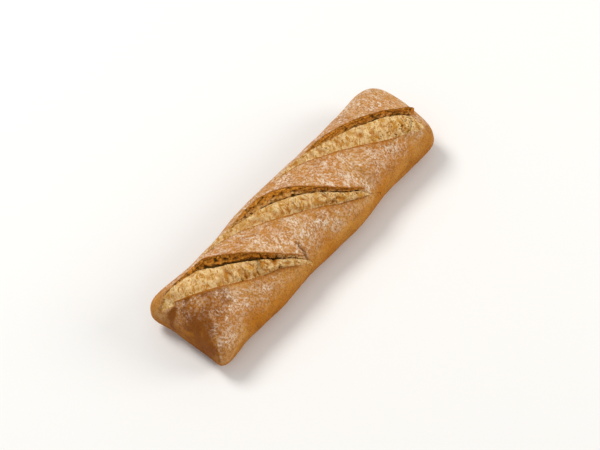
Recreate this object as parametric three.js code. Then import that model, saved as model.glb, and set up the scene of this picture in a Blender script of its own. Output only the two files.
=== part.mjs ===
// Ciabatta loaf: a long, low hearth loaf with three slanting cuts across its top.
// One piece of baked dough, so one closed solid. Millimetres, +Z up. The loaf lies on its
// flat base along X, with its square end at -X and its rounder end at +X. The origin is the
// middle of the base.

import * as THREE from "three";
import { mergeVertices } from "three/addons/utils/BufferGeometryUtils.js";

// Overall size
const LENGTH = 300;
const WIDTH = 84;
const HEIGHT = 54;

// Section: a rounded oblong, widest low down and cut off flat underneath
const WIDEST_AT = 0.31 * HEIGHT;
const ROUNDING_ABOVE = 2.35;
const ROUNDING_BELOW = 2.2;
const BASE_CUTOFF = 0.8; // part of the lower half that is left above the flat base

// Ends: how far along the rounding starts, and how square the end is seen from above
const NEAR_END = { run: 34, squareness: 5 };
const FAR_END = { run: 40, squareness: 3.4 };

// Slow swelling and narrowing of the sides along the loaf
const SWAY = 1.3;
const SWAY_PITCH = 110;

// Reach round the body: 0 is the crown, 1 the left shoulder and -1 the right shoulder. Down
// the flank it grows by FLANK_REACH for each unit that the net falls.
const FLANK_REACH = 0.6;

// Heights in the net, from -1 at the bottom to 1 at the top, between which the columns turn
// from upright to slanting, and between which the relief of the cuts grows to its full size
const SLANT_GROWS = [-1, 0.3];
const RELIEF_GROWS = [-0.6, 0.2];

// Each cut is three lines that slant across the top, given by where they pass the left
// shoulder, the crown and the right shoulder: the low edge of the crust, the crevice, and
// the rim of the lifted crust, or ear. Behind the rim the ear runs out into the crust.
const CUTS = [
  {
    low: [-139, -122, -66],
    crevice: [-127, -86, -54],
    rim: [-110, -76, -46],
    runOut: [-92, -56, -28],
    ends: [1.45, -1.25],
    lift: 4,
    depth: 3.5,
    swell: 2.5,
  },
  {
    low: [-66, -32, 26],
    crevice: [-54, 3, 38],
    rim: [-40, 12, 46],
    runOut: [-22, 32, 66],
    ends: [1.35, -1.2],
    lift: 3.5,
    depth: 3.5,
    swell: 2.5,
  },
  {
    low: [26, 54, 106],
    crevice: [38, 97, 130],
    rim: [50, 106, 138],
    runOut: [70, 122, 143],
    ends: [1.35, -0.95],
    lift: 4,
    depth: 3.5,
    swell: 2.5,
  },
];

// Reach over which a cut dies away at each of its ends
const CUT_FADE = 0.45;

// Crust beside the low edge swells by this share of the crumb's swell, from this far across
const EDGE_SWELL = { share: 0.4, from: 0.5 };

// The crumb turns down into the crevice from this far across
const TURN_DOWN = 0.7;

// Columns of the surface net in each strip between two lines, and rows across and up
const STRIP = { crust: 6, crumb: 6, earFace: 2, ear: 4, lastCrust: 5 };
const ROWS_ACROSS = 18;
const ROWS_UP = 8;

const CRUST_COLOUR = 0xc9935a;
const CRUST_ROUGHNESS = 0.85;

function clamp(value, low, high) {
  return Math.min(Math.max(value, low), high);
}

function smoothstep(from, to, value) {
  const t = clamp((value - from) / (to - from), 0, 1);
  return t * t * (3 - 2 * t);
}

function mix(a, b, t) {
  return a + (b - a) * t;
}

// A line's place along the loaf at a reach round the body: a parabola through its three
// crossings, going on straight down the flanks.
function lineAt([left, crown, right], reach) {
  const inner = clamp(reach, -1, 1);
  const slant = (left - right) / 2;
  const bow = (left + right) / 2 - crown;
  const edgeSlope = slant + 2 * bow * inner;
  return crown + slant * inner + bow * inner * inner + edgeSlope * (reach - inner);
}

// The net's columns, from end to end. Each knows the strip it stands in, how far across
// that strip it is, and the lines on either side.
function makeColumns() {
  const nearEnd = [-LENGTH / 2, -LENGTH / 2, -LENGTH / 2];
  const farEnd = [LENGTH / 2, LENGTH / 2, LENGTH / 2];
  const strips = [];
  let previous = nearEnd;
  for (const cut of CUTS) {
    strips.push({ kind: "crust", count: STRIP.crust, from: previous, to: cut.low, cut });
    strips.push({ kind: "crumb", count: STRIP.crumb, from: cut.low, to: cut.crevice, cut });
    strips.push({ kind: "earFace", count: STRIP.earFace, from: cut.crevice, to: cut.rim, cut });
    strips.push({ kind: "ear", count: STRIP.ear, from: cut.rim, to: cut.runOut, cut });
    previous = cut.runOut;
  }
  strips.push({ kind: "lastCrust", count: STRIP.lastCrust, from: previous, to: farEnd });
  const columns = [];
  for (const strip of strips) {
    for (let i = 0; i < strip.count; i += 1) {
      columns.push({ ...strip, across: i / strip.count });
    }
  }
  columns.push({ ...strips[strips.length - 1], across: 1 });
  return columns;
}

// Height that a cut adds to the crust at one column
function reliefHeight({ kind, across, cut }) {
  if (kind === "crust") {
    return EDGE_SWELL.share * cut.swell * smoothstep(EDGE_SWELL.from, 1, across);
  }
  if (kind === "crumb") {
    const turnDown = smoothstep(TURN_DOWN, 1, across);
    return cut.swell * Math.sin(Math.PI * across) - cut.depth * turnDown;
  }
  if (kind === "earFace") {
    return mix(-cut.depth, cut.lift, across);
  }
  if (kind === "ear") {
    return cut.lift * (1 - smoothstep(0, 1, across));
  }
  return 0;
}

// A cut dies away at both of its ends
function cutStrength({ ends }, reach) {
  const [left, right] = ends;
  return smoothstep(left, left - CUT_FADE, reach) * smoothstep(right, right + CUT_FADE, reach);
}

// Puts a point of the 2 x 2 x 2 net onto the plain body of the loaf
function ontoBody(along, side, up) {
  const end = along < 0 ? NEAR_END : FAR_END;
  const straight = LENGTH / 2 - end.run;
  const intoEnd = Math.max(Math.abs(along) - straight, 0) / end.run;
  const rounding = up >= 0 ? ROUNDING_ABOVE : ROUNDING_BELOW;
  const plan = intoEnd ** end.squareness + Math.abs(side) ** end.squareness;
  const section = plan ** (rounding / end.squareness) + Math.abs(up) ** rounding;
  const scale = section ** (-1 / rounding);
  const x = Math.sign(along) * (Math.min(Math.abs(along), straight) + intoEnd * scale * end.run);
  const sway = SWAY * Math.cos((2 * Math.PI * x) / SWAY_PITCH);
  const y = side * scale * (WIDTH / 2 + sway);
  const height = up * scale;
  const z = height >= 0
    ? mix(WIDEST_AT, HEIGHT, height)
    : WIDEST_AT * (1 + height / BASE_CUTOFF);
  return new THREE.Vector3(x, y, Math.max(z, 0));
}

function makeLoafGeometry() {
  const columns = makeColumns();
  const columnSteps = columns.length - 1;
  const net = new THREE.BoxGeometry(2, 2, 2, columnSteps, ROWS_ACROSS, ROWS_UP);
  net.deleteAttribute("normal");
  net.deleteAttribute("uv");
  const loaf = mergeVertices(net);
  const points = loaf.attributes.position;
  const axis = new THREE.Vector3();
  for (let i = 0; i < points.count; i += 1) {
    const [px, side, up] = [points.getX(i), points.getY(i), points.getZ(i)];
    const column = columns[Math.round(((px + 1) / 2) * columnSteps)];
    const onFlank = Math.abs(side) === 1;
    const reach = onFlank ? side * (1 + (1 - up) * FLANK_REACH) : side;
    const slanted = mix(lineAt(column.from, reach), lineAt(column.to, reach), column.across);
    const along = mix(px * (LENGTH / 2), slanted, smoothstep(...SLANT_GROWS, up));
    const point = ontoBody(clamp(along, -LENGTH / 2, LENGTH / 2), side, up);
    if (column.cut && Math.abs(px) < 1) {
      const strength = cutStrength(column.cut, reach) * smoothstep(...RELIEF_GROWS, up);
      axis.set(point.x, 0, WIDEST_AT);
      const outward = point.clone().sub(axis).normalize();
      point.addScaledVector(outward, reliefHeight(column) * strength);
    }
    points.setXYZ(i, point.x, point.y, point.z);
  }
  loaf.computeBoundingBox();
  const middle = loaf.boundingBox.getCenter(new THREE.Vector3());
  loaf.translate(-middle.x, -middle.y, -loaf.boundingBox.min.z);
  loaf.computeVertexNormals();
  return loaf;
}

const crust = new THREE.MeshStandardMaterial({
  color: CRUST_COLOUR,
  roughness: CRUST_ROUGHNESS,
  metalness: 0,
});

const ciabatta = new THREE.Group();
const loaf = new THREE.Mesh(makeLoafGeometry(), crust);
loaf.name = "loaf";
ciabatta.add(loaf);

export default ciabatta;
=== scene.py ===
"""Ciabatta loaf: a low hearth loaf with a floured crust, opened by three slanting cuts.

The loaf is one piece of baked dough, modelled as one skin. It lies on its flat base along X,
with its square end at -X and its rounder end at +X. Shapes are worked out in millimetres and
put into the frame's metres at the end.

A point of the skin has a place along the loaf and a reach round it. Reach 0 is the crown, 1
the left shoulder and -1 the right one, and down a flank the reach goes on growing. The net of
the skin has its columns along the lines of the cuts, so that their edges stay crisp.
"""

import math

import bmesh
import bpy
from mathutils import Matrix, Vector, noise


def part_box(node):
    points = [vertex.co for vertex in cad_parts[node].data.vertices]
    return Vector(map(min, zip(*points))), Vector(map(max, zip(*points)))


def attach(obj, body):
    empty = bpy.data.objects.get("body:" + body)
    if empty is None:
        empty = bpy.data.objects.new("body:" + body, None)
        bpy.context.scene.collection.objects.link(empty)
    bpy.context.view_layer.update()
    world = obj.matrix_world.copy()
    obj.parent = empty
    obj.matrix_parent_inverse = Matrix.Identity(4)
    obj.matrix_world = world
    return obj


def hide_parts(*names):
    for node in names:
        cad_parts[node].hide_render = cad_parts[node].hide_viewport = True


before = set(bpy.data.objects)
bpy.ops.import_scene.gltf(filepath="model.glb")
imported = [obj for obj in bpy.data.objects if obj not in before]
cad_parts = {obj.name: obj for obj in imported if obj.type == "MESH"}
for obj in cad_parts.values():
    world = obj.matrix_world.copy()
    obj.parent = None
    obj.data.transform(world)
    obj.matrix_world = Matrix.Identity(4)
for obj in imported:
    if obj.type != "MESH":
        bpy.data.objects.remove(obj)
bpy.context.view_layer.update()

MM = 0.001
LOAF_LOW, LOAF_HIGH = (Vector(corner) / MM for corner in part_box("loaf"))

# ---------------------------------------------------------------- the plain body of the loaf

# What the ears and the uneven sides need of the loaf's box, beyond the plain body
EAR_LIFT = 4.0
SWAY = 1.3
LENGTH = LOAF_HIGH.x - LOAF_LOW.x
WIDTH = LOAF_HIGH.y - LOAF_LOW.y - 2 * SWAY
HEIGHT = LOAF_HIGH.z - LOAF_LOW.z - EAR_LIFT

# How far the left and right sides stand off a straight oblong, at even steps from the near
# end to the far end, and how far the ends do, at even steps from the left to the right side
LEFT_SIDE = (2.5, -1.8, -3.0, 0.0, 0.6, -0.6, -2.6, -0.8, 3.2)
RIGHT_SIDE = (4.5, -0.5, 0.8, -2.0, 1.0, 1.7, -1.5, -1.7, 4.0)
NEAR_FACE = (3.0, -4.5, -5.0, -4.0, 3.5)
FAR_FACE = (1.0, 2.0, 0.5, -2.0, 3.0)

# The section: where it is widest, how square its rounding is above and below that, and the
# share of its lower half that is left above the flat base
WIDEST_AT = 0.31 * HEIGHT
ROUNDING_ABOVE = 2.35
ROUNDING_BELOW = 2.2
BASE_CUTOFF = 0.8

# Each end: how long its rounding is, and how square it is seen from above
NEAR_END = (34.0, 5.0)
FAR_END = (40.0, 3.4)

# How much the reach grows down a flank, for each unit that the net falls
FLANK_REACH = 0.6

# Heights in the net, from -1 at the base to 1 at the top, between which the columns take up
# the slant of the cuts, the relief grows to its full height, and the dough gets uneven
SLANT_GROWS = (-1.0, 0.3)
RELIEF_GROWS = (-0.6, 0.2)
LUMPS_GROW = (-1.0, -0.3)
GRIT_GROWS = (-1.0, -0.8)

# ------------------------------------------------------------------------------- the cuts

# Each cut has four lines: "low", the edge of the crust below its crumb; "crevice", where the
# crumb meets the torn face of the ear; "rim", the ear's edge; and "run_out", where the crust
# is level again. A line is its place along the loaf at each of LINE_REACHES. Besides them:
#   ends       reaches where the cut stops: on the left, and on the right its crumb along the
#              low edge, its crumb along the crevice, and its rim
#   lift       height of the rim; "taper" is the share of it that is left at the right
#              shoulder, and "tip" is what a free tip there adds
#   depth      how far the crevice goes in, and "swell" how far the crumb stands out
#   toast      how browned the torn face is, as far as the reach "pale_from"
#   open_to    the crevice gapes without a break as far as this reach
#   strands    reach where the crumb is most stretched, and "stringy" how much it is
#   pores      reach where the crumb is most open, and "porous" how much it is
LINE_REACHES = (1.0, 0.75, 0.5, 0.2, -0.2, -0.6, -1.0, -1.4)
FALLING_REACHES = [-reach for reach in LINE_REACHES]
CUTS = (
    {
        "low": (-149, -148.5, -147.5, -133, -107.5, -84, -61, -36),
        "crevice": (-148, -141, -104, -92, -73, -57, -47, -30),
        "rim": (-118, -101, -93, -83, -68, -54, -43.5, -27.5),
        "run_out": (-98, -86, -75, -64, -49, -36, -25, -16),
        "ends": (0.95, -1.36, -1.36, -1.3),
        "lift": 3.2,
        "taper": 0.45,
        "tip": 0.0,
        "depth": 4.2,
        "swell": 2.6,
        "toast": 0.9,
        "pale_from": -0.6,
        "open_to": -0.75,
        "strands": -0.45,
        "stringy": 1.2,
        "pores": -0.95,
        "porous": 0.5,
    },
    {
        "low": (-92, -82, -66, -45, -19, 7.5, 25, 58),
        "crevice": (-76, -60, -34, -9, 14, 28, 41, 56),
        "rim": (-50, -26, -9, 4, 17, 31, 43.5, 57.5),
        "run_out": (-26, -6, 10, 24, 37, 48, 62, 74),
        "ends": (1.05, -1.35, -1.2, -1.2),
        "lift": 2.6,
        "taper": 0.6,
        "tip": 0.0,
        "depth": 3.6,
        "swell": 2.8,
        "toast": 0.5,
        "pale_from": -1.6,
        "open_to": 0.35,
        "strands": -0.35,
        "stringy": 1.1,
        "pores": -0.9,
        "porous": 0.8,
    },
    {
        "low": (-8, 12, 29, 46, 71.5, 92, 112, 132),
        "crevice": (12, 36, 59, 87, 116, 135, 141, 144),
        "rim": (40, 58, 75, 97, 121.5, 141, 146, 147.5),
        "run_out": (60, 78, 96, 116, 136, 146.8, 148.6, 149.2),
        "ends": (0.95, -0.9, -1.12, -0.66),
        "lift": 2.7,
        "taper": 1.0,
        "tip": 3.8,
        "depth": 3.0,
        "swell": 3.2,
        "toast": 0.75,
        "pale_from": -1.6,
        "open_to": -0.1,
        "strands": 0.2,
        "stringy": 0.55,
        "pores": -0.7,
        "porous": 1.0,
    },
)
NEAR_CUT = 0

# How much reach a cut takes to fade in on the left and out on the right, and at a free tip,
# and how much further the middle of the crumb goes than its edges
LEFT_FADE = 0.4
RIGHT_FADE = 0.2
TIP_FADE = 0.1
ROUND_END = 0.2

# The crumb of the near cut ends in a tail down the near face: the reaches of its two sides at
# the top, the reach of its point, how far down that is, how soft its edges are in reach, and
# the place along the loaf beyond which the tail can lie
TAIL_SIDES = (0.42, 0.80)
TAIL_POINT = 0.62
TAIL_DROP = 17.0
TAIL_EDGE = (0.02, 0.04)
TAIL_FROM = -142.0
TAIL_DEPTH = 0.8
TAIL_BROWN = 1.6

# A small split in the crust past the near cut: its place along, its first and last reach, how
# it fades and sways, how dark its painted shade is and how much that varies, how often it bends
# and breaks in one unit of reach, and how brown its edge is
SPLIT_AT = -32.0
SPLIT_REACH = (-0.82, -1.38)
SPLIT_FADE = 0.06
SPLIT_WIDTH = 1.0
SPLIT_DEPTH = 1.7
SPLIT_SWAY = 1.6
SPLIT_DARK = (0.65, 0.5)
SPLIT_BENDS = 9
SPLIT_BREAKS = 14
SPLIT_BROWN = 0.8

# A thin curved tear across the far cut's crumb: its reach at the low edge and at the crevice,
# and how far it bows between them
TEAR_REACH = (-0.88, -0.49)
TEAR_BOW = 0.8
TEAR_WIDTH = 0.035
TEAR_DEPTH = 0.8
# How dark the painted shade in the tear is
TEAR_DARK = 0.45

# Columns of the net in each strip between two lines, rows across, and rows up the sides,
# which crowd towards the top by this power; the underside has larger cells
NEAR_CRUST, BETWEEN_CUTS, FAR_CRUST = 38, 32, 20
STRIPS = (("crumb", 50), ("ear_face", 20), ("ear", 22))
ROWS_ACROSS = 110
ROWS_UP = 38
ROWS_CROWD = 1.3
BASE_CELL = 6

# The net is made as a 2 x 2 x 2 cube: a point counts as on a face from here on, and two
# points count as in line within this
ON_FACE = 0.9999
IN_LINE = 1e-6

# What each point of the skin carries for its material, mostly from 0 to 1: torn crumb,
# toasting of the ear's face, painted shade in the crevice, browned edges, painted shade in
# hollows, open holes, crust bare of flour, and crust that the oven browned, with painted shade
# in a fold by the near cut's low edge. A cut's marks grow to the full with its relief
MARKS = ("crumb", "toast", "crevice", "edge", "hollow_shade", "open", "bare", "browning_and_shade")
MARKS_SHOW = (0.0, 0.35)


def mix(a, b, t):
    """The value a turning into b as t goes from 0 to 1."""
    return a + (b - a) * t


def clamp(value, low=0.0, high=1.0):
    return min(max(value, low), high)


def smooth(start, stop, value):
    """0 at the start, 1 at the stop, and smooth between."""
    t = clamp((value - start) / (stop - start))
    return t * t * (3 - 2 * t)


def close_to(value, centre, spread):
    """1 at the centre, falling away over the spread on both sides."""
    return math.exp(-(((value - centre) / spread) ** 2))


def curve_through(values, place, places=None):
    """Smooth curve through values at these places, or at even steps from place 0 to 1."""
    last = len(values) - 1
    places = places or [i / last for i in range(last + 1)]
    i = 0
    while i < last - 1 and place > places[i + 1]:
        i += 1
    slopes = []
    for j in (i, i + 1):
        before, after = max(j - 1, 0), min(j + 1, last)
        slopes.append((values[after] - values[before]) / (places[after] - places[before]))
    span = places[i + 1] - places[i]
    t = clamp((place - places[i]) / span)
    rise = values[i + 1] - values[i]
    lead_in, lead_out = (slope * span for slope in slopes)
    bend = lead_in + lead_out - 2 * rise
    value = values[i] + t * (lead_in + t * (rise - lead_in - bend * (1 - t)))
    beyond = place - clamp(place, places[0], places[-1])
    return value + beyond * slopes[1 if beyond > 0 else 0]


def line_at(line, reach):
    """Place along the loaf of a cut's line, at a reach round the body."""
    return curve_through(line, -reach, FALLING_REACHES)


def make_columns():
    """The net's columns from end to end: the strip, the cut, the lines and the place across."""
    near, far = ([end * LENGTH / 2] * len(LINE_REACHES) for end in (-1, 1))
    strips, before = [], near
    for number, cut in enumerate(CUTS):
        lines = [cut["low"], cut["crevice"], cut["rim"], cut["run_out"]]
        crust = NEAR_CRUST if number == NEAR_CUT else BETWEEN_CUTS
        strips.append(("crust", crust, before, lines[0], number))
        for (kind, count), start, stop in zip(STRIPS, lines, lines[1:]):
            strips.append((kind, count, start, stop, number))
        before = lines[-1]
    strips.append(("last_crust", FAR_CRUST, before, far, len(CUTS) - 1))
    columns = [
        (kind, start, stop, number, i / count)
        for kind, count, start, stop, number in strips
        for i in range(count)
    ]
    columns.append(("last_crust", before, far, len(CUTS) - 1, 1.0))
    return columns


def onto_body(along, side, up):
    """A point of the 2 x 2 x 2 net on the plain body, and the way out of the body there."""
    run, squareness = NEAR_END if along < 0 else FAR_END
    straight = LENGTH / 2 - run
    into_end = max(abs(along) - straight, 0) / run
    rounding = ROUNDING_ABOVE if up >= 0 else ROUNDING_BELOW
    plan = into_end**squareness + abs(side) ** squareness
    section = plan ** (rounding / squareness) + abs(up) ** rounding
    scale = section ** (-1 / rounding)
    end, side, up = into_end * scale, side * scale, up * scale
    x = math.copysign(min(abs(along), straight) + end * run, along)
    stand_off = curve_through(LEFT_SIDE if side > 0 else RIGHT_SIDE, x / LENGTH + 0.5)
    half_width = WIDTH / 2 + stand_off * smooth(0.0, 0.5, abs(side))
    face_off = curve_through(NEAR_FACE if along < 0 else FAR_FACE, (1 - side) / 2)
    x += face_off * end**2 * (-1 if along < 0 else 1)
    half_height = HEIGHT - WIDEST_AT if up >= 0 else WIDEST_AT / BASE_CUTOFF
    plan = max(end**squareness + abs(side) ** squareness, 1e-9)
    plan_pull = plan ** (rounding / squareness - 1)
    out = Vector((
        math.copysign(plan_pull * end ** (squareness - 1) / run, along),
        math.copysign(plan_pull * abs(side) ** (squareness - 1) / half_width, side),
        math.copysign(abs(up) ** (rounding - 1) / half_height, up),
    ))
    return Vector((x, side * half_width, WIDEST_AT + up * half_height)), out.normalized()


# ------------------------------------------------------------------------------ uneven dough

# Soft swellings and hollows: place along, reach, spread along, spread round, height
SWELLINGS = (
    (-105, 0.9, 20, 0.4, -2.0),
    (-60, 0.0, 20, 0.6, 1.0),
)

# Where the oven browned the crust most, in the same way, and painted shade in a fold by the
# near cut's low edge
BROWNING_AND_SHADE_SPOTS = (
    (-124, -0.3, 21, 0.45, 1.6),
    (-143, -0.7, 14, 0.6, 1.1),
    (-149, -0.3, 13, 0.7, 0.8),
    # These two narrow spots by the near cut's low edge are painted shade in the fold there
    (-141.5, 0.37, 3.5, 0.09, 2.8),
    (-130, 0.17, 6, 0.08, 1.6),
    (60, -1.1, 14, 0.25, 0.4),
    (130, -1.5, 26, 0.5, 0.45),
)

# Where the flour is rubbed off, and below 0 where it lies thicker
RUBBED_BARE = (
    (52, -1.15, 7, 0.12, -0.8),
    (-33, -1.3, 6, 0.12, -0.8),
    (-72, 0.9, 16, 0.3, -0.5),
    (128, -0.95, 8, 0.2, -0.5),
    (-146, -0.45, 9, 0.4, 0.35),
    (-148, 1.1, 22, 0.5, 1.0),
    (-152, 0.0, 9, 1.2, 0.8),
    (132, -1.5, 25, 0.5, 0.8),
    (60, -1.6, 60, 0.35, 0.6),
    (-60, -1.6, 60, 0.3, 0.5),
)


def spread_over(spots, place, reach):
    """Sum of soft round spots at a place on the loaf."""
    total = 0.0
    for along, at, spread, turn, amount in spots:
        far = ((place.x - along) / spread) ** 2 + ((reach - at) / turn) ** 2
        total += amount * math.exp(-far)
    return total


def lumps(place, size, shift=(0, 0, 0)):
    """Smooth noise from about -1 to 1, with lumps of this size."""
    return noise.noise(place / size + Vector(shift))


# Sizes and heights of the lumps in the dough, and of the grit on its crust
LUMP_SIZE, LUMP_HEIGHT = 42, 1.3
SMALL_LUMP_SIZE, SMALL_LUMP_HEIGHT = 17, 0.6
GRIT_SIZE, GRIT_HEIGHT = 3.1, 0.12
FINE_GRIT_SIZE, FINE_GRIT_HEIGHT = 1.6, 0.1


def unevenness(place, reach):
    """How far hand-shaped dough stands off the plain body."""
    broad = LUMP_HEIGHT * lumps(place, LUMP_SIZE)
    broad += SMALL_LUMP_HEIGHT * lumps(place, SMALL_LUMP_SIZE, (7, 3, 1))
    return broad + spread_over(SWELLINGS, place, reach)


def grit(place):
    """Fine roughness of the crust."""
    fine = FINE_GRIT_HEIGHT * lumps(place, FINE_GRIT_SIZE)
    return GRIT_HEIGHT * lumps(place, GRIT_SIZE) + fine


# Pores: their smallest and largest radius in cells, how flat the bottom is, and how gently
# they come and go as their share changes
PORE_RADII = (0.25, 0.45)
PORE_FLAT = 0.4
PORE_FADE = 0.2


def drawn_for(centre, seed):
    """A scattered number from 0 to 1, the same all over one cell."""
    return noise.cell(centre * seed) * 0.5 + 0.5


def pores(place, size, share):
    """Depth of round pores, from 0 to 1, with the share of cells that hold one."""
    distances, centres = noise.voronoi(place / size)
    present = smooth(share, share - PORE_FADE, drawn_for(centres[0], 7.3))
    radius = mix(*PORE_RADII, drawn_for(centres[0], 3.1))
    return present * smooth(radius, PORE_FLAT * radius, distances[0])


def split_depth(place, reach):
    """How far into the small split a point is, from 0 to 1."""
    start, stop = SPLIT_REACH
    line = SPLIT_AT + SPLIT_SWAY * noise.noise(Vector((reach * SPLIT_BENDS, 1, 1)))
    along = smooth(start + SPLIT_FADE, start - SPLIT_FADE, reach)
    along *= smooth(stop - SPLIT_FADE, stop + SPLIT_FADE, reach)
    return close_to(place.x, line, SPLIT_WIDTH) * along


def split_darkness(split, reach):
    """How dark the painted shade in the small split is at this depth; it varies along the split."""
    dark, varies = SPLIT_DARK
    dark += varies * noise.noise(Vector((reach * SPLIT_BREAKS, 2, 2)))
    return clamp(dark * split**2)


def in_tail(drop, reach):
    """How far inside the near cut's tail a point of the near end is, from 0 to 1."""
    low, high = (mix(side, TAIL_POINT, clamp(drop / TAIL_DROP)) for side in TAIL_SIDES)
    outside, inside = TAIL_EDGE
    return smooth(low - outside, low + inside, reach) * smooth(high + outside, high - inside, reach)


# --------------------------------------------------------------------- relief of the cuts

# The torn edges: how far they are nicked to and fro, how far the rim is nicked up and down,
# and how much of the rim's height and the crevice's depth varies along a cut. At its slant a
# cut is longer than it is wide round the body, by this factor
NICKED = 1.1
RIM_NICKED = 0.5
VARIES = 0.25
RUN_STRETCH = 1.4

# Sizes along a cut of its ragged waves, its nicks, its gaps and the waves in its depth
RAGGED_SIZE, NICK_SIZE, GAP_SIZE, DEPTH_SIZE = 9, 1.9, 4.5, 14

# The share of its depth and of its painted shade that a closed stretch of the crevice keeps,
# how the gaps in it open with the noise along the cut, and how soon it gapes without a break
CLOSED_DEPTH = 0.35
CLOSED_DARK = 0.35
GAPS_OPEN = (-0.3, 0.1)
GAPING_FADE = 0.1

# The reaches between which the rim drops to its taper, a free tip rises and the crevice opens
# from the left; and how far before a free tip it starts to shut, how much of its depth goes
# there, and between which shares of that its dark line of painted shade goes
TAPER_REACH = (-0.2, -1.0)
TIP_REACH = (-0.25, -0.55)
LEFT_OPENS = (0.9, 0.68)
TIP_SHUTS = 0.22
TIP_SHALLOWS = 0.9
TIP_PALES = (0.6, 1.0)


class Spot:
    """A point of the skin, and how its cut is torn there."""

    def __init__(self, number, across, reach, place):
        cut = CUTS[number]
        self.number, self.cut = number, cut
        self.across, self.reach, self.place = across, reach, place
        self.run = reach * WIDTH / 2 * RUN_STRETCH
        self.ragged = self.torn_along(RAGGED_SIZE, 2)
        self.nicks = self.torn_along(NICK_SIZE, 6)
        self.gaps = self.torn_along(GAP_SIZE, 3)
        self.closed = 1 - in_tail(0, reach) if number == NEAR_CUT else 1.0
        self.lift = cut["lift"] * (1 + VARIES * self.ragged)
        self.lift *= mix(1, cut["taper"], smooth(*TAPER_REACH, reach))
        self.lift += RIM_NICKED * self.nicks + cut["tip"] * smooth(*TIP_REACH, reach)
        open_to = cut["open_to"]
        self.gaping = smooth(open_to - GAPING_FADE, open_to + GAPING_FADE, reach)
        # How much painted shade the crevice gets here; it also sets how deep the crevice goes
        self.dark = mix(smooth(*GAPS_OPEN, self.gaps), 1.0, self.gaping)
        self.dark *= mix(CLOSED_DARK, 1.0, smooth(*LEFT_OPENS, reach))
        self.depth = cut["depth"] * (1 + VARIES * self.torn_along(DEPTH_SIZE, 8))
        if cut["tip"]:
            rim_end = cut["ends"][3]
            shut = smooth(rim_end + TIP_SHUTS, rim_end, reach)
            self.depth *= 1 - TIP_SHALLOWS * shut
            self.dark *= 1 - smooth(*TIP_PALES, shut)
        self.depth *= mix(CLOSED_DEPTH, 1.0, self.dark)

    def torn_along(self, size, channel):
        """Noise along the cut, with bumps of this size, and different for each channel."""
        return noise.noise(Vector((self.run / size, self.number * 5.0, channel)))


# Places across a strip, from 0 at its first line to 1 at its last, between which something
# grows or, with the larger place first, fades
LIP_RISES = (0.7, 1.0)
LIP_BROWNS = (0.95, 0.99)
LIP_BARE = (0.82, 0.97)
RIM_BROWN_ENDS = (0.11, 0.05)
RIM_BARE_ENDS = (0.12, 0.04)
RIM_NICKS_END = (0.12, 0.0)

# The lip of the crust, turned up along the crumb, and how bare of flour both edges are
LIP_HEIGHT, LIP_VARIES = 0.8, 0.5
BARE_BY_EDGE = 0.7

# The ear slopes down from its rim as this share of an even curve and the rest of a sharp one
EAR_EVEN = 0.6
EAR_SHARPNESS = 1.6


def crust_relief(spot):
    """The crust before a cut, turned up a little along the edge of the crumb."""
    lip = smooth(*LIP_RISES, spot.across) * spot.closed
    marks = {
        "edge": smooth(*LIP_BROWNS, spot.across) * spot.closed,
        "bare": BARE_BY_EDGE * smooth(*LIP_BARE, spot.across),
    }
    return (LIP_HEIGHT + LIP_VARIES * spot.ragged) * lip, NICKED * spot.nicks * lip, marks


def ear_relief(spot):
    """The lifted crust of the ear, from its rim down to level crust."""
    across = spot.across
    height = spot.lift * mix((1 - across) ** EAR_SHARPNESS, smooth(1, 0, across), EAR_EVEN)
    marks = {
        "edge": smooth(*RIM_BROWN_ENDS, across),
        "bare": BARE_BY_EDGE * smooth(*RIM_BARE_ENDS, across),
    }
    return height, NICKED * spot.nicks * smooth(*RIM_NICKS_END, across), marks


# The crumb: how full its bulge is, and the size and height of its strands, folds and pores
BULGE_FULLNESS = 0.75
STRAND_SIZE, STRAND_HEIGHT = 1.7, 1.2
FOLD_SIZE, FOLD_HEIGHT = 6.0, 1.8
CRUMB_SIZE, SMALL_CRUMB_SIZE, CRUMB_HEIGHT = 2.1, 1.1, 0.4
PORE_SIZE, PORE_DEPTH = 4.2, 1.6
SMALL_PORE_SIZE, SMALL_PORE_DEPTH = 3.0, 0.8

# Strands lie across the cut: the way they are counted along, how they bend towards the
# crevice and sway, how often strands and folds change across it, how stretched they are all
# over, and how far the stretched and the open reaches spread
STRANDS_FACE = (0.8, -0.6)
STRANDS_BEND = 7
STRANDS_SWAY, STRANDS_SWAY_SIZE = 2.5, 9
STRANDS_CHANGE, FOLDS_CHANGE = 2.2, 3.0
STRETCHED_ALL_OVER = 0.3
SPREADS_OVER = 0.35

# The share of cells that hold a pore in dense crumb, and what full openness adds
PORE_SHARE, PORE_SHARE_OPEN = 0.15, 0.5
SMALL_PORE_SHARE, SMALL_PORE_SHARE_OPEN = 0.1, 0.9

# How much painted shade the crumb's hollows get: between strands and crumbs from this depth
# on, in pores, and in the tuck
STRANDS_SHADE, STRANDS_SHADE_FROM = 1.9, 0.08
CRUMBS_SHADE, CRUMBS_SHADE_FROM = 0.7, 0.25
PORE_SHADE, SMALL_PORE_SHADE = 0.9, 0.6
TUCK_SHADE = 0.8

# The crumb swells fully where a cut opened at least this wide along the loaf
FULL_SWELL_WIDTH = 16

# Where the crumb of the near cut is tucked into its crevice
TUCK_REACH = -0.66
TUCK_SLANT = 0.3
TUCK_WIDTH = 0.06
TUCK_ACROSS = (0.45, 0.85)
TUCK_DEPTH = 3.0

# The crumb gets painted shade towards its low edge, most where it is stringy
LOW_SHADE = 0.4
LOW_SHADE_ENDS = (0.5, 0.05)

# The step from the lip down onto the crumb, and places across the crumb's strip as above
STEP_HEIGHT = 0.8
STEP_SINK = 0.3
STEP_ACROSS = (0.0, 0.05)
CRUMB_SHOWS = (0.0, 0.06)
STEP_BROWN_ENDS = (0.06, 0.02)
TURNS_DOWN = (0.86, 1.0)
CREVICE_DARKENS = (0.92, 0.99)
TEAR_ACROSS = (0.1, 0.2)
TEAR_ENDS = (0.95, 0.8)


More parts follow.
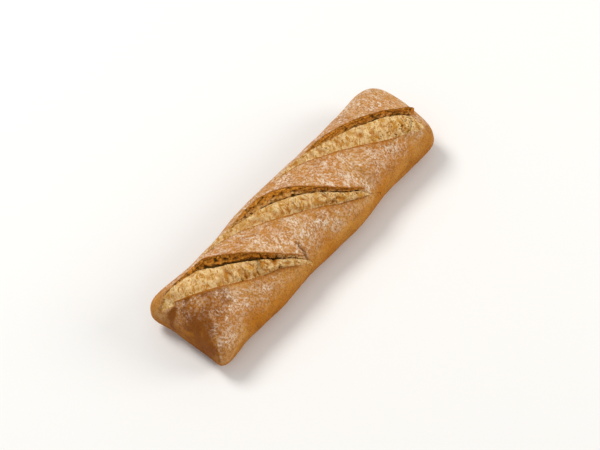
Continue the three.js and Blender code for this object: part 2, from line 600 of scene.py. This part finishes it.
def crumb_surface(spot):
    """Height of the opened crumb, how much painted shade its hollows give the point, and how open it
    is there.
    """
    cut, across, reach, place = spot.cut, spot.across, spot.reach, spot.place
    bulge = math.sin(math.pi * min(across * 1.02, 1)) ** BULGE_FULLNESS
    down_cut = STRANDS_FACE[0] * place.x + STRANDS_FACE[1] * place.y
    down_cut += STRANDS_BEND * across**2 + STRANDS_SWAY * lumps(place, STRANDS_SWAY_SIZE)
    channel = spot.number * 9.0
    strands = noise.noise(Vector((down_cut / STRAND_SIZE, across * STRANDS_CHANGE, channel + 4)))
    stretched = cut["stringy"] * close_to(reach, cut["strands"], SPREADS_OVER)
    strands *= STRETCHED_ALL_OVER + stretched
    folds = noise.noise(Vector((down_cut / FOLD_SIZE, across * FOLDS_CHANGE, channel + 1)))
    crumbs = lumps(place, CRUMB_SIZE) + 0.6 * lumps(place, SMALL_CRUMB_SIZE)
    openness = cut["porous"] * close_to(reach, cut["pores"], SPREADS_OVER)
    pore = pores(place, PORE_SIZE, PORE_SHARE + PORE_SHARE_OPEN * openness)
    small_share = SMALL_PORE_SHARE + SMALL_PORE_SHARE_OPEN * openness
    small_pore = pores(place + Vector((3, 1, 2)), SMALL_PORE_SIZE, small_share)
    tuck = 0.0
    if spot.number == NEAR_CUT:
        tuck = close_to(reach, TUCK_REACH - TUCK_SLANT * (1 - across), TUCK_WIDTH)
        tuck *= smooth(*TUCK_ACROSS, across)
    width = line_at(cut["crevice"], reach) - line_at(cut["low"], reach)
    height = (cut["swell"] + FOLD_HEIGHT * folds) * bulge * smooth(0, FULL_SWELL_WIDTH, width)
    height += (STRAND_HEIGHT * strands + CRUMB_HEIGHT * crumbs) * min(1, 3 * bulge)
    height -= (PORE_DEPTH * pore + SMALL_PORE_DEPTH * small_pore) * bulge + TUCK_DEPTH * tuck
    # Painted shade: between strands and crumbs, in folds, pores and the tuck, and towards the low
    # edge
    hollow_shade = STRANDS_SHADE * clamp(-strands - STRANDS_SHADE_FROM)
    hollow_shade += CRUMBS_SHADE * clamp(-crumbs - CRUMBS_SHADE_FROM) + clamp(-folds)
    hollow_shade += PORE_SHADE * pore + SMALL_PORE_SHADE * small_pore + TUCK_SHADE * tuck
    hollow_shade += LOW_SHADE * smooth(*LOW_SHADE_ENDS, across) * min(1, cut["stringy"])
    return height, clamp(hollow_shade * bulge), openness * min(1, 2 * bulge)


def crumb_relief(spot):
    """The swollen crumb, from a small step at the low edge to the bottom of the crevice."""
    across, closed = spot.across, spot.closed
    step = smooth(*STEP_ACROSS, across)
    height, hollow_shade, openness = crumb_surface(spot)
    height += STEP_HEIGHT * (1 - step) * closed - STEP_SINK * mix(1.0, step, closed)
    height -= spot.depth * smooth(*TURNS_DOWN, across) ** 1.5
    marks = {
        "crumb": mix(1.0, smooth(*CRUMB_SHOWS, across), closed),
        # Painted shade at the bottom of the crevice
        "crevice": smooth(*CREVICE_DARKENS, across) * spot.dark,
        "edge": smooth(*STEP_BROWN_ENDS, across) * closed,
        # Painted shade in the crumb's hollows
        "hollow_shade": hollow_shade,
        "open": openness,
    }
    if spot.cut["tip"]:
        torn_at = mix(*TEAR_REACH, across) - TEAR_BOW * across * (1 - across)
        tear = close_to(spot.reach, torn_at, TEAR_WIDTH)
        tear *= smooth(*TEAR_ACROSS, across) * smooth(*TEAR_ENDS, across)
        height -= TEAR_DEPTH * tear
        # Painted shade in the tear
        marks["crevice"] = max(marks["crevice"], TEAR_DARK * tear)
    return height, NICKED * spot.nicks * (1 - step), marks


# The torn face of the ear: its pits, none of them in a free tip, and its unevenness, with
# painted shade in its pits and torn hollows
PIT_SIZE, SMALL_PIT_SIZE = 4.2, 2.2
PIT_SHARE = 0.7
PIT_DEPTH, SMALL_PIT_DEPTH = 1.5, 0.8
PITS_FROM = (-0.62, -0.5)
TORN_SIZE, TORN_DEPTH, TORN_CHANGE = 4.5, 1.5, 4.5
TORN_HOLLOW, TORN_HOLLOW_FROM = 1.4, 0.05
GRAIN_SIZE, FINE_GRAIN_SIZE, GRAIN_DEPTH = 2.4, 1.2, 0.9
FACE_OPEN = 0.7
FACE_STARTS, FACE_ENDS = (0.0, 0.2), (1.0, 0.85)
RIM_NICKS_START = (0.6, 1.0)

# The face is paler at the left shoulder and past the reach "pale_from", by these shares, and
# most browned by its rim; the shade in the crevice goes this far up it, and further where the
# gaps open and where a cut of more than this depth gapes
LEFT_PALE, LEFT_PALE_REACH = 0.5, (0.7, 1.0)
RIGHT_PALE, RIGHT_PALE_FADE = 0.3, 0.15
RIM_TOASTS = (0.4, 0.75)
SHADE_UP, SHADE_UP_DEEP = 0.28, 0.38
DEEP_CUT = (3, 4)
SHADE_VARIES = 0.16
SHADE_FADE = 0.16


def ear_face_relief(spot):
    """The torn face that hangs from the ear's rim into the crevice."""
    cut, across, reach, place = spot.cut, spot.across, spot.reach, spot.place
    within = smooth(*FACE_STARTS, across) * smooth(*FACE_ENDS, across)
    pit = pores(Vector((place.x, place.y, 0)), PIT_SIZE, PIT_SHARE)
    small_pit = pores(place + Vector((5, 2, 9)), SMALL_PIT_SIZE, PIT_SHARE)
    pit = max(pit, SMALL_PIT_DEPTH * small_pit) * within
    if cut["tip"]:
        pit *= smooth(*PITS_FROM, reach)
    channel = spot.number * 5.0 + 11
    torn = noise.noise(Vector((spot.run / TORN_SIZE, across * TORN_CHANGE, channel)))
    shift = GRAIN_DEPTH * (lumps(place, GRAIN_SIZE) + lumps(place, FINE_GRAIN_SIZE)) * within
    shift += PIT_DEPTH * pit + TORN_DEPTH * torn * within
    shift += NICKED * spot.nicks * smooth(*RIM_NICKS_START, across)
    browning = mix(1, LEFT_PALE, smooth(*LEFT_PALE_REACH, reach))
    past = cut["pale_from"] - reach
    browning *= mix(1, RIGHT_PALE, smooth(-RIGHT_PALE_FADE, RIGHT_PALE_FADE, past))
    toast = mix(cut["toast"] * browning, 1.0, smooth(*RIM_TOASTS, across) * browning)
    deep_gape = spot.gaping * smooth(*DEEP_CUT, cut["depth"])
    shade_top = mix(SHADE_UP, SHADE_UP_DEEP, deep_gape) + SHADE_VARIES * spot.gaps
    marks = {
        "crumb": 1.0,
        "toast": toast,
        # Painted shade of the crevice, reaching up the torn face
        "crevice": smooth(shade_top, shade_top - SHADE_FADE, across) * spot.dark,
        # Painted shade in the face's pits and torn hollows
        "hollow_shade": clamp(pit + TORN_HOLLOW * clamp(torn - TORN_HOLLOW_FROM) * within),
        "open": FACE_OPEN * within,
    }
    return mix(-spot.depth, spot.lift, across), shift, marks


def last_crust_relief(spot):
    """Plain crust past the last cut."""
    return 0.0, 0.0, {}


RELIEFS = {
    "crust": crust_relief,
    "crumb": crumb_relief,
    "ear_face": ear_face_relief,
    "ear": ear_relief,
    "last_crust": last_crust_relief,
}


# ------------------------------------------------------------------------------- the skin

def make_net(columns):
    """A cube cut into rows and columns, with its underside left in larger cells."""
    net = bmesh.new()
    bmesh.ops.create_cube(net, size=2)
    for axis, count in ((0, len(columns) - 1), (1, ROWS_ACROSS), (2, ROWS_UP)):
        along = [e for e in net.edges if abs((e.verts[0].co - e.verts[1].co)[axis]) > IN_LINE]
        bmesh.ops.subdivide_edges(net, edges=along, cuts=count - 1, use_grid_fill=True)
    spare = []
    for edge in net.edges:
        a, b = (v.co for v in edge.verts)
        on_border = max(abs(a.x + b.x), abs(a.y + b.y)) > 2 * ON_FACE
        if max(a.z, b.z) > -ON_FACE or on_border:
            continue
        axis, count = (1, ROWS_ACROSS) if abs(a.y - b.y) < IN_LINE else (0, len(columns) - 1)
        if round((a[axis] + 1) / 2 * count) % BASE_CELL:
            spare.append(edge)
    bmesh.ops.dissolve_edges(net, edges=spare, use_verts=True)
    return net


def relief_strength(kind, cut, across, reach, up):
    """How much of its relief a cut has here, from 0 to 1."""
    left, low_right, crumb_right, right = cut["ends"]
    if kind == "crust":
        right = low_right
    elif kind == "crumb":
        right = mix(low_right, crumb_right, across) - ROUND_END * 4 * across * (1 - across)
    sharp = cut["tip"] and kind in ("ear_face", "ear")
    strength = smooth(*RELIEF_GROWS, up) * smooth(left, left - LEFT_FADE, reach)
    return strength * smooth(right, right + (TIP_FADE if sharp else RIGHT_FADE), reach)


# A short step of reach to each side, and the share of it that is seen from above
REACH_STEP = 0.05
FROM_ABOVE = 0.75


def way_across(line, reach, out):
    """The way across a cut on the skin, towards the far end."""
    slant = line_at(line, reach + REACH_STEP) - line_at(line, reach - REACH_STEP)
    along_cut = Vector((slant, 2 * REACH_STEP * WIDTH / 2 * FROM_ABOVE, 0))
    across_cut = along_cut.cross(out).normalized()
    return -across_cut if across_cut.x < 0 else across_cut


def at_least(vert, layer, amount):
    vert[layer] = max(vert[layer], amount)


def shape_loaf(net, columns):
    """Puts every point of the net on the loaf and marks its finish."""
    layers = {name: net.verts.layers.float.new(name) for name in MARKS}
    steps = len(columns) - 1
    for vert in net.verts:
        px, side, up = vert.co
        up = 1 - 2 * ((1 - up) / 2) ** ROWS_CROWD
        kind, start, stop, number, across = columns[round((px + 1) / 2 * steps)]
        reach = side * (1 + (1 - up) * FLANK_REACH) if abs(side) > ON_FACE else side
        slanted = mix(line_at(start, reach), line_at(stop, reach), across)
        along = mix(px * LENGTH / 2, slanted, smooth(*SLANT_GROWS, up))
        place, out = onto_body(clamp(along, -LENGTH / 2, LENGTH / 2), side, up)
        strength = 0.0
        if abs(px) < ON_FACE:
            strength = relief_strength(kind, CUTS[number], across, reach, up)
        height, shift, marks = RELIEFS[kind](Spot(number, across, reach, place))
        bumps = unevenness(place, reach) * smooth(*LUMPS_GROW, up)
        bumps += grit(place) * smooth(*GRIT_GROWS, up)
        place = place + out * (bumps + height * strength)
        place += way_across(start, reach, out) * (shift * strength)
        place.z = max(place.z, 0)
        for name, amount in marks.items():
            vert[layers[name]] = amount * smooth(*MARKS_SHOW, strength)
        if number == NEAR_CUT and kind == "crust" and along < TAIL_FROM:
            drop = (1 - up) * HEIGHT / 2 if px < -ON_FACE else 0
            tail = in_tail(drop, reach) * smooth(TAIL_DROP, 0.8 * TAIL_DROP, drop)
            place -= out * (TAIL_DEPTH * tail)
            at_least(vert, layers["crumb"], tail)
            at_least(vert, layers["edge"], TAIL_BROWN * tail * (1 - tail))
        split = split_depth(place, reach)
        place -= out * (SPLIT_DEPTH * split)
        # The split gets painted shade through the crevice mark, and a browned edge
        at_least(vert, layers["crevice"], split_darkness(split, reach))
        at_least(vert, layers["edge"], SPLIT_BROWN * split)
        # Oven browning, with painted shade in a fold by the near cut's low edge
        vert[layers["browning_and_shade"]] = spread_over(BROWNING_AND_SHADE_SPOTS, place, reach)
        vert[layers["bare"]] += spread_over(RUBBED_BARE, place, reach)
        vert.co = place * MM


# ---------------------------------------------------------------------------- materials

class Shade:
    """A number or colour on its way through a material; sums on it add Math nodes."""

    def __init__(self, finish, socket):
        self.finish = finish
        self.socket = socket

    def __add__(self, other):
        return self.finish.maths("ADD", self, other)

    def __sub__(self, other):
        return self.finish.maths("SUBTRACT", self, other)

    def __rsub__(self, other):
        return self.finish.maths("SUBTRACT", other, self)

    def __mul__(self, other):
        return self.finish.maths("MULTIPLY", self, other)

    __radd__ = __add__
    __rmul__ = __mul__

    def held(self):
        """Kept between 0 and 1."""
        return self.finish.maths("ADD", self, 0.0, use_clamp=True)

    def steps(self, low, high):
        """0 below low, 1 above high, smooth between."""
        settings = {"interpolation_type": "SMOOTHSTEP"}
        sockets = {"Value": self, "From Min": low, "From Max": high}
        return self.finish.add("ShaderNodeMapRange", settings, sockets)["Result"]


class Outputs:
    """The outputs of one node, by name or number."""

    def __init__(self, finish, node):
        self.finish = finish
        self.node = node

    def __getitem__(self, name):
        return Shade(self.finish, self.node.outputs[name])


# The Mix node has its factor and colours at these places among its inputs and outputs
MIX_FACTOR, MIX_A, MIX_B = 0, 6, 7
MIX_RESULT = 2


class Finish:
    """One material and its nodes."""

    def __init__(self, name):
        self.material = bpy.data.materials.new(name)
        self.material.use_nodes = True
        self.tree = self.material.node_tree
        self.shader = self.tree.nodes["Principled BSDF"]

    def add(self, kind, settings, sockets):
        """A node of this type, its settings made first, then the values or links of its sockets."""
        node = self.tree.nodes.new(kind)
        for name, value in settings.items():
            setattr(node, name, value)
        for name, value in sockets.items():
            self.join(node.inputs[name], value)
        return Outputs(self, node)

    def join(self, target, value):
        if isinstance(value, Shade):
            self.tree.links.new(value.socket, target)
        else:
            target.default_value = value

    def maths(self, operation, a, b, use_clamp=False):
        settings = {"operation": operation, "use_clamp": use_clamp}
        return self.add("ShaderNodeMath", settings, {0: a, 1: b})["Value"]

    def blend(self, factor, a, b):
        """Colour a turning into colour b."""
        a, b = ((*c, 1.0) if isinstance(c, tuple) else c for c in (a, b))
        sockets = {MIX_FACTOR: factor, MIX_A: a, MIX_B: b}
        return self.add("ShaderNodeMix", {"data_type": "RGBA"}, sockets)[MIX_RESULT]

    def squeezed(self, vector, scale):
        """Places on which a pattern is squeezed along each axis by this scale."""
        sockets = {"Vector": vector, "Scale": scale}
        return self.add("ShaderNodeMapping", {"vector_type": "POINT"}, sockets)["Vector"]

    def drawn_out(self, vector, turn, lengths):
        """Places on which a pattern is drawn out by these lengths, along axes turned by this much."""
        sockets = {"Vector": vector, "Rotation": (0.0, 0.0, turn), "Scale": lengths}
        return self.add("ShaderNodeMapping", {"vector_type": "TEXTURE"}, sockets)["Vector"]

    def mottle(self, vector, size, detail=3.0, roughness=0.55, distortion=0.0):
        """Cloudy noise from 0 to 1 with features of this size in metres."""
        sockets = {
            "Vector": vector,
            "Scale": 1 / size,
            "Detail": detail,
            "Roughness": roughness,
            "Distortion": distortion,
        }
        return self.add("ShaderNodeTexNoise", {}, sockets)["Fac"]

    def cells(self, vector, size):
        """Distance to the nearest of scattered points, in cells of this size in metres."""
        sockets = {"Vector": vector, "Scale": 1 / size}
        return self.add("ShaderNodeTexVoronoi", {"feature": "F1"}, sockets)["Distance"]

    def mark(self, name):
        """A mark that the skin carries, such as where the crumb shows."""
        return self.add("ShaderNodeAttribute", {"attribute_name": name}, {})["Fac"]


GOLDEN = (0.56, 0.205, 0.016)
TAN = (0.60, 0.270, 0.045)
BROWN = (0.23, 0.065, 0.005)
BAKED_BROWN = (0.27, 0.080, 0.004)
HEARTH_BROWN = (0.40, 0.135, 0.010)
RIM_BROWN = (0.38, 0.125, 0.012)
FLOUR = (0.90, 0.74, 0.58)
CRUMB_PALE = (0.96, 0.70, 0.355)
CRUMB_GOLDEN = (0.64, 0.32, 0.058)
# Painted shade of the crumb, in its hollows and holes
CRUMB_SHADE = (0.44, 0.150, 0.012)
TOASTED = (0.50, 0.155, 0.010)
TOASTED_PALE = (0.65, 0.245, 0.024)
TORN_GOLDEN = (0.78, 0.37, 0.065)
# Threads of the crumb: partly their golden colour, partly painted shade in their grooves
THREAD_GOLDEN_AND_SHADE = (0.56, 0.235, 0.024)
# Painted shade: in the crevices, splits and tears, and in the pits and holes of the torn face
DEEP_SHADE = (0.095, 0.050, 0.009)

# Sizes of the patterns on the crust and in the crumb
CLOUDS = 30 * MM
SWIRLS = 26 * MM
DUSTINGS = 13 * MM
PATCHES = 11 * MM
TONES = 7 * MM
BLOTCHES = 5 * MM
STROKES = 3.8 * MM
THREADS = 2.5 * MM
SPECKLE = 2.4 * MM
HOLES = 2.1 * MM
GRAIN = 1.8 * MM
POWDER = 1.6 * MM

# The flour lies in strokes that turn one way here and another there
STROKE_TURNS = (-0.2, 0.7, -1.2)
STROKE_LENGTHS = (0.5, 1.2, 1.0)

# Which way the threads of the crumb run, seen from above, and how they are drawn out
THREADS_RUN = math.radians(53)
THREAD_LENGTHS = (2.6, 1.0, 1.6)

# Heights between which the crust by the hearth turns golden, and the flour begins to lie,
# with how much both borders wander; at the near end, which fades out between these places
# along the loaf, the flour reaches lower
HEARTH_BAND = (8 * MM, 30 * MM)
HEARTH_WANDERS = 12 * MM
FLOUR_FROM = (24 * MM, 44 * MM)
FLOUR_WANDERS = 20 * MM
NEAR_END_FROM = (-142 * MM, -110 * MM)
NEAR_END_LOWER = 10 * MM

BUMP_DISTANCE = 1.2 * MM
CRUST_SHINE = 0.08


class LoafFinish(Finish):
    """Floured, golden brown crust, with pale stretched crumb where the cuts opened."""

    def __init__(self):
        super().__init__("floured_crust")
        self.place = self.add("ShaderNodeTexCoord", {}, {})["Object"]
        self.marks = {name: self.mark(name) for name in MARKS}
        self.clouds = self.mottle(self.place, CLOUDS)
        self.patches = self.mottle(self.place, PATCHES, 4.0, 0.6, 0.4)
        self.speckle = self.mottle(self.place, SPECKLE, 3.0, 0.6)
        self.powder = self.mottle(self.place, POWDER, 2.0, 0.6)
        self.tone = self.mottle(self.place, TONES, 4.0, 0.6)
        self.streaks, self.stray = self.flour_strokes()
        self.threads = self.crumb_threads()
        self.holes = self.crumb_holes()

    def flour_strokes(self):
        """Streaks that follow two turns by swirls, and stray ones across them."""
        strokes = []
        for turn in STROKE_TURNS:
            lie = self.drawn_out(self.place, turn, STROKE_LENGTHS)
            strokes.append(self.mottle(lie, STROKES, 3.0, 0.68, 0.6))
        swirl = self.mottle(self.place, SWIRLS, 1.0).steps(0.42, 0.58)
        return strokes[0] * swirl + strokes[1] * (1 - swirl), strokes[2]

    def crumb_threads(self):
        lie = self.drawn_out(self.place, THREADS_RUN, THREAD_LENGTHS)
        return self.mottle(lie, THREADS, 4.0, 0.65, 0.9)

    def crumb_holes(self):
        """Small holes where the crumb is open, fewer in some parts of it."""
        holes = self.cells(self.squeezed(self.place, (1.0, 1.0, 0.7)), HOLES)
        holes = (1 - holes.steps(0.16, 0.34)) * self.marks["open"]
        return holes * (self.tone.steps(0.38, 0.5) * 0.6 + 0.4)

    def crust(self, height):
        """Golden crust, browner by the hearth and where the oven caught it, with painted shade in a
        fold by the near cut's low edge.
        """
        browning_and_shade = self.marks["browning_and_shade"]
        colour = self.blend(self.clouds.steps(0.35, 0.65), GOLDEN, TAN)
        low_down = 1 - (height + (self.clouds - 0.5) * HEARTH_WANDERS).steps(*HEARTH_BAND)
        colour = self.blend((low_down * 0.75).held(), colour, HEARTH_BROWN)
        baked = (browning_and_shade * (self.patches * 1.8 - 0.3)).held() * 0.95
        colour = self.blend(baked, colour, BAKED_BROWN)
        freckles = (1 - self.powder.steps(0.40, 0.52)) * 0.42
        browned = freckles + self.patches.steps(0.45, 0.7) * (browning_and_shade * 0.3 + 0.3)
        # Past 1.6, mostly in the fold by the near cut's low edge, this adds painted shade
        browned = browned + (browning_and_shade - 1.6).held() * 0.6
        return self.blend((browned * 0.85).held(), colour, BROWN)

    def flour(self, height, near_end):
        """How thickly the flour lies: fine streaks, a haze, blotches, and specks on baked crust."""
        bare, browning_and_shade = self.marks["bare"], self.marks["browning_and_shade"]
        lowered = height + (self.clouds - 0.5) * FLOUR_WANDERS + near_end * NEAR_END_LOWER
        upper = lowered.steps(*FLOUR_FROM) * (1 - bare * 0.85 - browning_and_shade * 0.34)
        worn = browning_and_shade * (self.patches - 0.34) * 0.15
        fine = self.streaks * 0.6 + self.stray * 0.2 + self.powder * 0.2 - worn
        fine = fine.steps(0.46, 0.57)
        haze = (0.09 - browning_and_shade * 0.045).held()
        dusted = self.mottle(self.place, DUSTINGS).steps(0.36, 0.64)
        blotches = (self.mottle(self.place, BLOTCHES, 3.0, 0.6) + browning_and_shade * 0.03).steps(0.56, 0.66)
        blotches = blotches * self.powder.steps(0.35, 0.6) * (browning_and_shade * 0.1 + 0.4)
        specks = self.speckle.steps(0.52, 0.60) * browning_and_shade.held() * 0.28
        return ((fine * 0.70 + haze) * (dusted * 0.6 + 0.42) + blotches + specks) * upper

    def crumb(self, grain):
        """Pale crumb with golden threads, darker in their grooves as painted shade, and grain, with
        painted orange shade in its hollows and holes.
        """
        hollow_shade = self.marks["hollow_shade"]
        colour = self.blend(self.tone.steps(0.30, 0.58), CRUMB_GOLDEN, CRUMB_PALE)
        # Golden threads, darker where the bump makes grooves: crumb colour and painted shade
        colour = self.blend(self.threads.steps(0.51, 0.59) * 0.95, colour, THREAD_GOLDEN_AND_SHADE)
        colour = self.blend(grain.steps(0.54, 0.62) * 0.5, colour, CRUMB_GOLDEN)
        # Painted shade in the crumb's hollows and holes
        return self.blend((hollow_shade * 1.1 + self.holes * 1.2).held(), colour, CRUMB_SHADE)

    def toasted(self, grain):
        """The torn face of an ear: toasted crumb, light on its tears, with painted shade in its
        pricks, pits and hollows.
        """
        colour = self.blend(grain.steps(0.44, 0.56), TOASTED, TOASTED_PALE)
        colour = self.blend(self.speckle.steps(0.52, 0.62) * 0.7, colour, TORN_GOLDEN)
        # Pricks: small pits, given painted shade
        pricks = (1 - self.speckle.steps(0.36, 0.46)) * 0.4
        colour = self.blend(pricks.held(), colour, DEEP_SHADE)
        # Painted shade in the face's pits, torn hollows and holes
        return self.blend((self.marks["hollow_shade"] + self.holes * 0.6).held(), colour, DEEP_SHADE)

    def paint(self):
        """Joins the colours, the roughness and the bump to the shader."""
        marks, speckle = self.marks, self.speckle
        point = self.add("ShaderNodeSeparateXYZ", {}, {"Vector": self.place})
        height, near_end = point["Z"], 1 - point["X"].steps(*NEAR_END_FROM)
        crust = self.blend(self.flour(height, near_end).held(), self.crust(height), FLOUR)
        grain = self.mottle(self.place, GRAIN, 3.0, 0.65)
        inside = self.blend((marks["toast"] * 1.1).held(), self.crumb(grain), self.toasted(grain))
        ragged = (marks["crumb"] + (speckle - 0.5) * 0.5).steps(0.35, 0.65)
        colour = self.blend(ragged, crust, inside)
        colour = self.blend((marks["edge"] * (speckle * 2.6 - 0.3)).held(), colour, RIM_BROWN)
        # Painted shade in the crevices, splits and tears
        colour = self.blend((marks["crevice"] * 0.92).held(), colour, DEEP_SHADE)

        relief = speckle * 0.6 + self.powder * 0.8 + self.streaks * 0.9
        relief = relief - marks["crumb"] * self.threads * 1.3 - self.holes
        bump = {"Strength": 1.0, "Distance": BUMP_DISTANCE, "Height": relief}
        self.join(self.shader.inputs["Base Color"], colour)
        self.join(self.shader.inputs["Roughness"], speckle * 0.3 + 0.5)
        self.join(self.shader.inputs["Normal"], self.add("ShaderNodeBump", {}, bump)["Normal"])
        self.shader.inputs["Specular IOR Level"].default_value = CRUST_SHINE
        return self.material


def plain_finish(name, colour, roughness):
    finish = Finish(name)
    finish.shader.inputs["Base Color"].default_value = (*colour, 1.0)
    finish.shader.inputs["Roughness"].default_value = roughness
    return finish.material


# ------------------------------------------------------------------------------- pieces

def add_piece(name, mesh_maker, material):
    mesh = bpy.data.meshes.new(name)
    mesh_maker.to_mesh(mesh)
    mesh_maker.free()
    mesh.materials.append(material)
    piece = bpy.data.objects.new(name, mesh)
    bpy.context.scene.collection.objects.link(piece)
    return piece


def bake_loaf():
    columns = make_columns()
    skin = make_net(columns)
    shape_loaf(skin, columns)
    bmesh.ops.recalc_face_normals(skin, faces=skin.faces)
    for face in skin.faces:
        face.smooth = True
    loaf = add_piece("baked_loaf", skin, LoafFinish().paint())
    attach(loaf, "root")
    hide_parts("loaf")


# ------------------------------------------------------------------- floor, light and camera

FLOOR_RADIUS = 6.0
FLOOR_COLOUR = (0.93, 0.925, 0.915)
FLOOR_ROUGHNESS = 0.9

# Each light: its name, place, size, power and colour
LIGHTS = (
    ("window", (-0.1, 1.2, 1.9), 0.9, 26.5, (1.0, 0.98, 0.94)),
    ("reflector", (1.2, -1.5, 1.0), 1.2, 17.0, (1.0, 0.96, 0.89)),
)
AIR_STRENGTH = 0.5

# The camera looks along the loaf from its near end: how far it is turned from +X, tipped down
# and rolled, in degrees, and how far off it is from the point it is aimed at
VIEW_TURN = 46.23
VIEW_DOWN = 53.65
VIEW_ROLL = 8.17
VIEW_DISTANCE = 1.479
VIEW_LENS = 104.1
VIEW_AIM_HEIGHT = 24.6 * MM
VIEW_SLIDE = (1.9 * MM, -6.5 * MM)


def lay_floor():
    disc = bmesh.new()
    bmesh.ops.create_circle(disc, cap_ends=True, segments=64, radius=FLOOR_RADIUS)
    paint = plain_finish("floor_paint", FLOOR_COLOUR, FLOOR_ROUGHNESS)
    add_piece("studio_floor", disc, paint)


def hang_light(name, place, size, power, colour):
    lamp = bpy.data.lights.new(name, "AREA")
    lamp.shape = "DISK"
    lamp.size = size
    lamp.energy = power
    lamp.color = colour
    holder = bpy.data.objects.new(name, lamp)
    holder.location = place
    holder.rotation_euler = (-Vector(place)).to_track_quat("-Z", "Y").to_euler()
    bpy.context.scene.collection.objects.link(holder)


def light_studio():
    world = bpy.data.worlds.new("studio_air")
    world.use_nodes = True
    air = world.node_tree.nodes["Background"]
    air.inputs["Color"].default_value = (1.0, 1.0, 1.0, 1.0)
    air.inputs["Strength"].default_value = AIR_STRENGTH
    bpy.context.scene.world = world
    for light in LIGHTS:
        hang_light(*light)


def set_camera():
    turn, down, roll = (math.radians(a) for a in (VIEW_TURN, VIEW_DOWN, VIEW_ROLL))
    ahead = Vector((
        math.cos(turn) * math.cos(down),
        math.sin(turn) * math.cos(down),
        -math.sin(down),
    ))
    level_right = Vector((math.sin(turn), -math.cos(turn), 0.0))
    level_up = level_right.cross(ahead)
    right = level_right * math.cos(roll) - level_up * math.sin(roll)
    up = level_up * math.cos(roll) + level_right * math.sin(roll)
    place = Vector((0, 0, VIEW_AIM_HEIGHT)) - ahead * VIEW_DISTANCE
    place += right * VIEW_SLIDE[0] + up * VIEW_SLIDE[1]
    lens = bpy.data.cameras.new("camera")
    lens.lens = VIEW_LENS
    lens.sensor_width = 36.0
    lens.clip_start = 0.05
    camera = bpy.data.objects.new("camera", lens)
    turned = Matrix((right, up, -ahead)).transposed().to_4x4()
    camera.matrix_world = Matrix.Translation(place) @ turned
    bpy.context.scene.collection.objects.link(camera)
    bpy.context.scene.camera = camera


bpy.context.scene.view_settings.view_transform = "Standard"
set_camera()
light_studio()
lay_floor()
bake_loaf()
